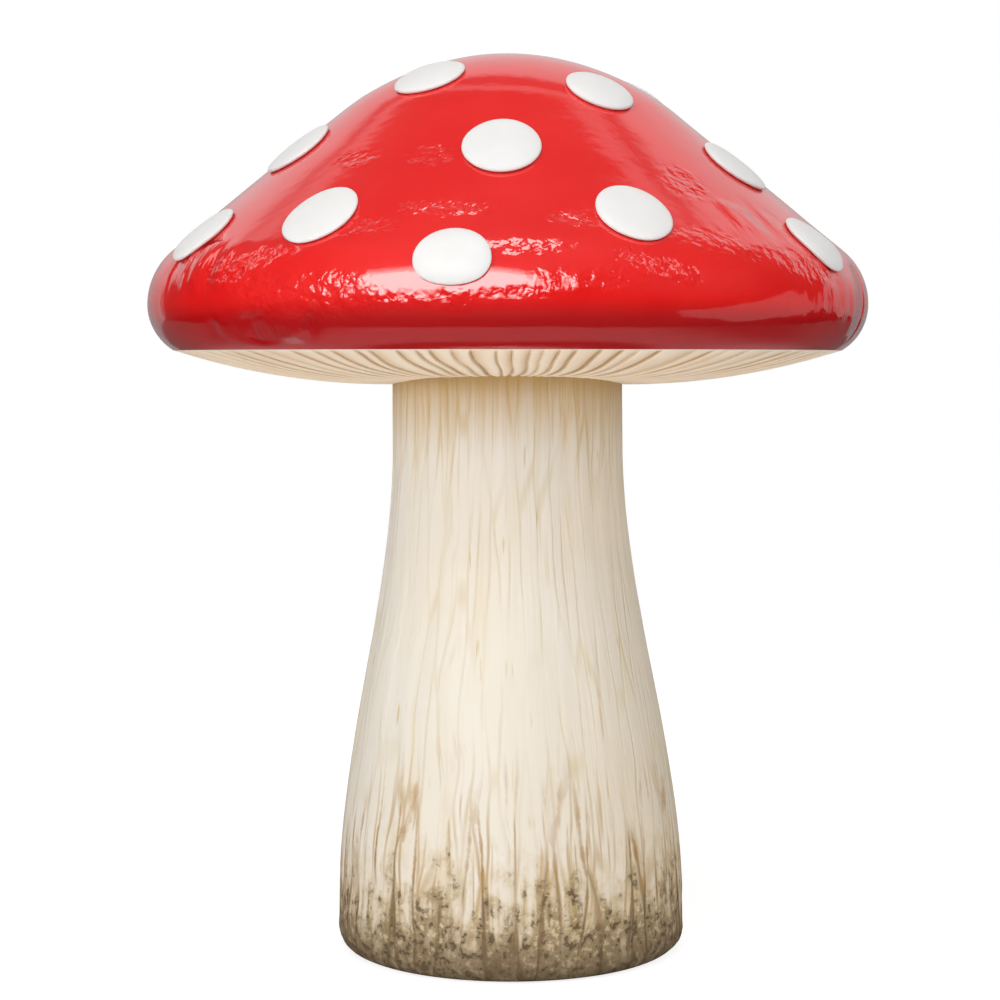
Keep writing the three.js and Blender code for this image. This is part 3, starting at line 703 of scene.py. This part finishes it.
def build_cap(material):
    azimuths = np.linspace(0.0, 2.0 * math.pi, CAP_COLUMNS, endpoint=False)
    distance = np.linspace(0.0, lip_reach, CAP_ROWS)
    r, z, angle = cap_section(distance)
    outer = turned_rows(r, z, azimuths)
    across = np.sin(angle)[:, None]
    normals = np.stack(
        [across * np.sin(azimuths), -across * np.cos(azimuths), np.cos(angle)[:, None] + 0.0 * azimuths],
        axis=-1,
    )
    along = distance / cap_reach
    crinkle = patch_weights(CRINKLES, azimuths, along, outer)
    streak = patch_weights(STREAKS, azimuths, along, outer)
    flow = turned_rows(0.0 * distance + FLOW_RADIUS, distance, azimuths)
    hold = smoothstep(lip_reach, lip_reach - PLAIN_LIP, distance)[:, None]
    outer = outer + normals * (cap_ripple(outer) * hold)[..., None]
    inner_r, inner_z, inner_angle = cap_section(np.linspace(lip_reach, 0.0, CAP_INNER_ROWS))
    inner_r = np.maximum(inner_r - LAMINATE * np.sin(inner_angle), 0.0)
    inner_r[-1] = 0.0
    inner = turned_rows(inner_r, inner_z - LAMINATE * np.cos(inner_angle), azimuths)
    rows = np.concatenate([outer, inner])
    values = {}
    for key, grid in (("crinkle", crinkle), ("streak", streak), ("flow", flow)):
        values[key] = np.zeros((*rows.shape[:2], *grid.shape[2:]))
        values[key][:CAP_ROWS] = grid
    piece = skin("cap_skin", rows, values=values)
    dress(piece, "red_gelcoat", material, "cap_shell")


# Gills

lip_r, lip_z, lip_angle = (float(v) for v in cap_section(lip_reach))
gill_edge_r = lip_r + GILL_GAP * math.cos(lip_angle)
gill_edge_z = lip_z - GILL_GAP * math.sin(lip_angle)
junction_height = lip_z - GILL_DROP
hub_seat = junction_height + HUB_RISE
stem_hole = NECK_RADIUS + STEM_HOLE_CLEARANCE
dish_reach = gill_edge_r - stem_hole
dish_radius = (dish_reach**2 + GILL_DROP**2) / (2.0 * GILL_DROP)


def build_gills(material):
    random = np.random.default_rng(GILL_SEED)
    pitch = 2.0 * math.pi / GILL_COUNT
    edges = (np.arange(GILL_COUNT) + random.uniform(-GILL_JITTER, GILL_JITTER, GILL_COUNT)) * pitch
    edges = edges - GILL_CROWDING * np.sin(edges) * (0.5 + 0.5 * np.cos(edges)) ** 3
    depths = random.uniform(GILL_SHALLOWEST, 1.0, GILL_COUNT)
    azimuths = np.linspace(0.0, 2.0 * math.pi, GILL_COLUMNS, endpoint=False)
    share = np.linspace(0.0, 1.0, GILL_ROWS)[:, None]
    r = stem_hole + share * dish_reach
    flat = np.stack([r * np.sin(azimuths), -r * np.cos(azimuths), 0.0 * r + 0.0 * azimuths], axis=-1)

    # Each point's blade, and its distance from the grooves on either side
    bend = GILL_BEND * pitch * (noise(flat, GILL_BEND_CELL, 2.0) - 0.5)
    turned = np.mod(azimuths + bend, 2.0 * math.pi)
    blade = np.searchsorted(edges, turned, side="right") - 1
    before = np.mod(turned - edges[blade], 2.0 * math.pi)
    after = np.mod(edges[(blade + 1) % GILL_COUNT] - turned, 2.0 * math.pi)
    depth = np.where(before < after, depths[blade], depths[(blade + 1) % GILL_COUNT])
    groove = depth * np.exp(-((np.minimum(before, after) * r / GILL_GROOVE_WIDTH) ** 2))
    # The share across each blade both tilts it and sets its painted shade; it turns the other way on the left
    # half
    slope = before / (before + after)
    slope = np.where(np.sin(edges[blade] + 0.5 * pitch) < 0.0, 1.0 - slope, slope)
    plain_r = gill_edge_r - GILL_BORDER_PLAIN * GILL_BORDER
    border = smoothstep(gill_edge_r - GILL_BORDER, plain_r, r) + 0.0 * azimuths
    fade = (1.0 - GILL_FADE * share**2) * (1.0 - border)

    sag = dish_radius - np.sqrt(dish_radius**2 - (r - stem_hole) ** 2)
    arch = GILL_ARCH * np.cos(azimuths) ** 2 * (1.0 - share) ** 2
    z = junction_height + sag + arch + (gill_edge_z - lip_z)
    z = z + (GILL_DEPTH * groove + GILL_STEP * slope) * fade
    under = np.stack([r * np.sin(azimuths), -r * np.cos(azimuths), z], axis=-1)

    back = [
        (gill_edge_r - GILL_BACK_INSET, gill_edge_z + LAMINATE),
        (GILL_BACK_BEND_RADIUS, GILL_BACK_BEND_HEIGHT),
        (GILL_BACK_FLAT_RADIUS, hub_seat),
        (HUB_RADIUS, hub_seat),
        (stem_hole, hub_seat),
    ]
    rows = np.concatenate([under, turned_rows(*zip(*back), azimuths)])
    values = {}
    # The groove value also sets the tan and the painted shade in the grooves
    for key, grid in (("groove", groove * (1.0 - border)), ("slope", slope), ("border", border)):
        values[key] = np.zeros(rows.shape[:2])
        values[key][:GILL_ROWS] = grid
    piece = skin("gill_skin", rows, close_rows=True, values=values)
    dress(piece, "cream_gills", material, "gill_shell")


# Stem

taper_end = hub_seat - NECK_LENGTH


def stem_radius(z):
    return FOOT_RADIUS + (NECK_RADIUS - FOOT_RADIUS) * smoothstep(TAPER_START, taper_end, z)


def stem_lean(z):
    """How far the stem is out of line at a height."""
    return STEM_SWAY * (1.0 - smoothstep(0.0, SWAY_HEIGHT, z))


def stem_outline():
    """Section of the stem's outside, from the standing ring up to the cap's seat."""
    turn = np.linspace(0.0, math.pi / 2, FOOT_ROWS)
    foot_r = FOOT_RADIUS - FOOT_ROUND + FOOT_ROUND * np.sin(turn)
    foot_z = FOOT_ROUND - FOOT_ROUND * np.cos(turn)
    wall_z = np.linspace(FOOT_ROUND, hub_seat, STEM_ROWS)[1:]
    ring_r = np.linspace(FOOT_RADIUS - FOOT_ROUND - FOOT_LIP, foot_r[0], RING_ROWS + 1)[:-1]
    r = np.concatenate([ring_r, foot_r, stem_radius(wall_z)])
    z = np.concatenate([0.0 * ring_r, foot_z, wall_z])
    return r, z


def build_stem_half(name, node, start, material):
    azimuths = np.linspace(start, start + math.pi, STEM_COLUMNS)
    r, z = stem_outline()
    pattern = turned_rows(0.0 * r + GRAIN_RADIUS, z, azimuths)
    height = pattern[..., 2]

    # Soft ridges that wander a little as they climb
    wander = GRAIN_WANDER * (fractal(pattern, GRAIN_WANDER_CELL, 2, 4.0) - 0.5)
    bent = pattern + np.stack([wander, -wander, 0.0 * wander], axis=-1)
    unrolled = np.stack([GRAIN_RADIUS * azimuths + wander, height, 0.0 * height], axis=-1)
    ridges = fractal(bent, RIDGE_CELL, 2, 1.0) - 0.5

    # Rough earth at the foot
    earth_edge = EARTH_EDGE_WANDER * (noise(bent, EARTH_EDGE_CELL, 6.0) - 0.5)
    footward = smoothstep(*EARTH_FADE, height + earth_edge)
    rough = (fractal(pattern, EARTH_CELL, 3, 2.0) - 0.5) * footward
    off_floor = smoothstep(0.0, FLAT_FOOT, height)
    push = RIDGE_HEIGHT * ridges + EARTH_HEIGHT * rough
    radius = r[:, None] + push * off_floor
    side = radius * np.sin(azimuths) + stem_lean(height)
    outer = np.stack([side, -radius * np.cos(azimuths), height], axis=-1)

    inner_z = np.linspace(hub_seat, LAMINATE, STEM_INNER_ROWS)
    inner_r = stem_radius(inner_z) - LAMINATE - STEM_EXTRA_WALL
    foot_share = smoothstep(FOOT_ROUND, LAMINATE, inner_z)
    inner_r = inner_r - (FOOT_ROUND - LAMINATE) * foot_share
    inner_r = np.append(inner_r, FOOT_RADIUS - FOOT_ROUND - FOOT_LIP)
    inner = turned_rows(inner_r, np.append(inner_z, LAMINATE), azimuths)
    inner[..., 0] += stem_lean(inner[..., 2])
    rows = np.concatenate([outer, inner])
    values = {"grain": rows.copy(), "unrolled": rows.copy()}
    values["grain"][: len(r)] = bent
    values["unrolled"][: len(r)] = unrolled
    piece = skin(name, rows, close_rows=True, close_columns=False, cap_ends=True, values=values)
    dress(piece, "stem_paint", material, node)


# Spots


def land_on_cap(points, direction):
    """Moves points along a direction onto the cap, and gives the cap's normals there."""
    points = points.copy()
    for _ in range(LANDING_STEPS):
        r = np.hypot(points[..., 0], points[..., 1])
        z = points[..., 2]
        crown_angle = np.arctan2(r, z - crown_height)
        rim_angle = np.arctan2(r - rim_top_r, z - RIM_HEIGHT)
        on_crown = crown_angle <= flank_slope
        on_rim = rim_angle >= flank_slope
        flank_apart = r * math.sin(flank_slope) + (z - crown_height) * math.cos(flank_slope) - CROWN_RADIUS
        apart = np.select(
            [on_crown, on_rim],
            [
                np.hypot(r, z - crown_height) - CROWN_RADIUS,
                np.hypot(r - rim_top_r, z - RIM_HEIGHT) - RIM_TOP_RADIUS,
            ],
            flank_apart,
        )
        angle = np.select([on_crown, on_rim], [crown_angle, rim_angle], flank_slope)
        out = np.sin(angle) / np.maximum(r, 1e-9)
        normals = np.stack([points[..., 0] * out, points[..., 1] * out, np.cos(angle)], axis=-1)
        points = points - direction * (apart / (normals @ direction))[..., None]
    return points, normals


def build_spot(number, azimuth, along, size, stretch, material):
    random = np.random.default_rng(SPOT_SEED + number)
    r, z, angle = (float(v) for v in cap_section(along * cap_reach))
    turn = math.radians(azimuth)
    away = np.array([math.sin(turn), -math.cos(turn), 0.0])
    up = np.array([0.0, 0.0, 1.0])
    centre = away * r + up * z
    normal = away * math.sin(angle) + up * math.cos(angle)
    across = np.array([math.cos(turn), math.sin(turn), 0.0])
    downhill = np.cross(across, normal)

    # Section of a flat pebble: a full top, a round side and an edge that tucks in under it
    tilt = np.linspace(0.0, math.pi / 2, SPOT_ROWS)
    top_out = np.sin(tilt) ** SPOT_FULLNESS
    top_height = SPOT_SIDE + (1.0 - SPOT_SIDE) * np.cos(tilt) ** SPOT_FULLNESS
    edge_out, edge_height = zip(*SPOT_EDGE)
    out = np.concatenate([top_out, edge_out])
    height = np.concatenate([top_height, edge_height])

    swing = np.linspace(0.0, 2.0 * math.pi, SPOT_COLUMNS, endpoint=False)
    waves = sum(
        SPOT_WAVE * random.uniform(0.3, 1.0) * np.cos(order * swing + random.uniform(0.0, 6.28))
        for order in (2, 3, 4)
    )
    radius = 0.5 * SPOT_DIAMETER * size * (1.0 + waves)
    reach = out[:, None] * radius
    fall = np.cos(swing) + SPOT_DROOP.get(number, 0.0) * np.sin(swing) ** 2
    start = (
        centre
        + (stretch * reach * fall)[..., None] * downhill
        + (reach * np.sin(swing))[..., None] * across
    )
    landed, normals = land_on_cap(start, normal)
    rise = SPOT_LIFT + SPOT_HEIGHT * height[:, None] + 0.0 * swing
    rise = rise + cap_ripple(landed) * (1.0 - SPOT_EVENING * height[:, None])
    rows = landed + normals * rise[..., None]
    piece = skin(f"spot_skin_{number:02d}", rows)
    dress(piece, "white_resin", material, f"spot_{number:02d}")


# Stage


def build_floor():
    """A white floor. Its front part stays dark in reflections, as a studio is towards the viewer."""
    mesh = bpy.data.meshes.new("floor")
    corners = [(FLOOR_REACH * x, FLOOR_REACH * y, 0.0) for x, y in ((-1, -1), (1, -1), (1, 1), (-1, 1))]
    mesh.from_pydata(corners, [], [(0, 1, 2, 3)])
    floor = bpy.data.objects.new("floor", mesh)
    bpy.context.scene.collection.objects.link(floor)
    paint = Paint("floor")
    paint.finish((0.93, 0.93, 0.93, 1.0), 1.0, Specular_IOR_Level=0.0)
    x, y, _ = paint.axes(paint.place)
    apart = paint.add("ShaderNodeVectorMath", operation="LENGTH")
    paint.feed(apart.inputs[0], paint.place)
    apart = apart.outputs["Value"]

    # What the camera sees: near white, with the figure's shadow
    shaded = paint.add("ShaderNodeBsdfDiffuse")
    shaded.inputs["Color"].default_value = (0.35, 0.35, 0.35, 1.0)
    glow = paint.add("ShaderNodeEmission")
    paint.feed(glow.inputs["Strength"], paint.ramp(apart, 0.3, 1.2, 0.84, 1.0))
    seen = paint.add("ShaderNodeAddShader")
    paint.feed(seen.inputs[0], shaded.outputs[0])
    paint.feed(seen.inputs[1], glow.outputs[0])

    # What the gloss mirrors, painted as a glow: dark in front, painted shadow under the cap, brighter to the
    # back
    sideways = paint.math("ABSOLUTE", x)
    curve = paint.math("MULTIPLY", paint.math("MULTIPLY", sideways, sideways), -0.45)
    near = paint.ramp(paint.math("ADD", y, curve), -0.75, -0.68)
    lit = paint.math("MULTIPLY", near, paint.ramp(sideways, 0.9, 0.4, 0.2))
    lit = paint.math("MULTIPLY", lit, paint.ramp(y, 0.0, 0.6, 1.0, 2.2))
    lit = paint.math("MULTIPLY", lit, paint.ramp(apart, 0.28, 0.38, 0.1))
    mirrored = paint.add("ShaderNodeEmission")
    paint.feed(mirrored.inputs["Strength"], paint.math("MULTIPLY", lit, 0.24))

    path = paint.add("ShaderNodeLightPath")
    surface = paint.shader.outputs[0]
    for ray, look in (("Is Camera Ray", seen), ("Is Glossy Ray", mirrored)):
        choice = paint.add("ShaderNodeMixShader")
        paint.feed(choice.inputs[0], path.outputs[ray])
        paint.feed(choice.inputs[1], surface)
        paint.feed(choice.inputs[2], look.outputs[0])
        surface = choice.outputs[0]
    paint.feed(paint.tree.nodes["Material Output"].inputs["Surface"], surface)
    mesh.materials.append(paint.material)


def build_world():
    """A studio: white behind the figure, a thin bright strip over it, and dim elsewhere."""
    world = bpy.data.worlds.new("studio")
    bpy.context.scene.world = world
    world.use_nodes = True
    world.node_tree.nodes.clear()
    nodes = Nodes(world.node_tree)
    x, y, z = nodes.axes(nodes.add("ShaderNodeTexCoord").outputs["Generated"])
    behind = nodes.math("MULTIPLY_ADD", x, 0.22, y)
    wall = nodes.ramp(behind, 0.55, 0.64, 0.0, 0.68)
    wall = nodes.math("MULTIPLY", wall, nodes.ramp(z, 0.0, 0.35, 0.5, 1.0))
    curved = nodes.math("MULTIPLY_ADD", nodes.math("MULTIPLY", x, x), -0.6, behind)
    strip = nodes.ramp(curved, 0.38, 0.42, 0.0, 0.5)
    strip = nodes.math("MINIMUM", strip, nodes.ramp(curved, 0.45, 0.49, 0.5, 0.0))
    path = nodes.add("ShaderNodeLightPath")
    level = nodes.ramp(z, 0.0, 0.9, 0.02, 0.10)
    for brighter in (wall, strip, path.outputs["Is Camera Ray"]):
        level = nodes.math("MAXIMUM", level, brighter)
    background = nodes.add("ShaderNodeBackground")
    background.inputs["Color"].default_value = (1.0, 1.0, 1.0, 1.0)
    nodes.feed(background.inputs["Strength"], level)
    nodes.feed(nodes.add("ShaderNodeOutputWorld").inputs["Surface"], background.outputs[0])


def build_light(
    name,
    azimuth,
    elevation,
    distance,
    width,
    height,
    radiance,
    is_round=False,
    roll=0,
    shade=True,
    shine=True,
):
    """A softbox aimed at the cap, which may shade it only or be mirrored only. A round one fills its box."""
    turn = math.radians(azimuth)
    climb = math.radians(elevation)
    data = bpy.data.lights.new(name, "AREA")
    data.shape = "ELLIPSE" if is_round else "RECTANGLE"
    data.size = width
    data.size_y = height
    data.energy = radiance * math.pi * width * height * (math.pi / 4 if is_round else 1.0)
    lamp = bpy.data.objects.new(name, data)
    lamp.location = (
        LAMP_TARGET[0] + distance * math.cos(climb) * math.sin(turn),
        LAMP_TARGET[1] - distance * math.cos(climb) * math.cos(turn),
        LAMP_TARGET[2] + distance * math.sin(climb),
    )
    facing = Matrix.Rotation(turn, 3, "Z") @ Matrix.Rotation(math.pi / 2 - climb, 3, "X")
    lamp.rotation_euler = (facing @ Matrix.Rotation(math.radians(roll), 3, "Z")).to_euler()
    lamp.visible_camera = False
    lamp.visible_diffuse = shade
    lamp.visible_glossy = shine
    bpy.context.scene.collection.objects.link(lamp)


def build_camera():
    data = bpy.data.cameras.new("camera")
    data.sensor_width = SENSOR_WIDTH
    data.lens = SENSOR_WIDTH * FOCAL_LENGTH / PICTURE_WIDTH
    camera = bpy.data.objects.new("camera", data)
    camera.location = CAMERA_PLACE
    camera.rotation_euler = (math.pi / 2 - math.atan(HORIZON_RISE / FOCAL_LENGTH), 0.0, 0.0)
    bpy.context.scene.collection.objects.link(camera)
    bpy.context.scene.camera = camera


build_camera()
build_floor()
build_world()
for *layout, use in LAMPS:
    build_light(*layout, **use)
bpy.context.scene.view_settings.view_transform = "Standard"

materials = {
    "red_gelcoat": red_gelcoat(),
    "white_resin": white_resin(),
    "cream_gills": cream_gills(),
    "stem_paint": stem_paint(),
    "plywood": plywood(),
    "zinc_steel": zinc_steel(),
    "glass_tape": glass_tape(),
}
for subpart in frame["record"]["subparts"]:
    node = frame["nodes"][subpart["node"]]
    node.data.materials.clear()
    node.data.materials.append(materials[subpart["material_slot"]])

build_cap(materials["red_gelcoat"])
build_gills(materials["cream_gills"])
build_stem_half("stem_front_skin", "stem_front_half", -math.pi / 2, materials["stem_paint"])
build_stem_half("stem_back_skin", "stem_back_half", math.pi / 2, materials["stem_paint"])
for number, (azimuth, along, size, stretch) in enumerate(SPOTS, start=1):
    build_spot(number, azimuth, along, size, stretch, materials["white_resin"])
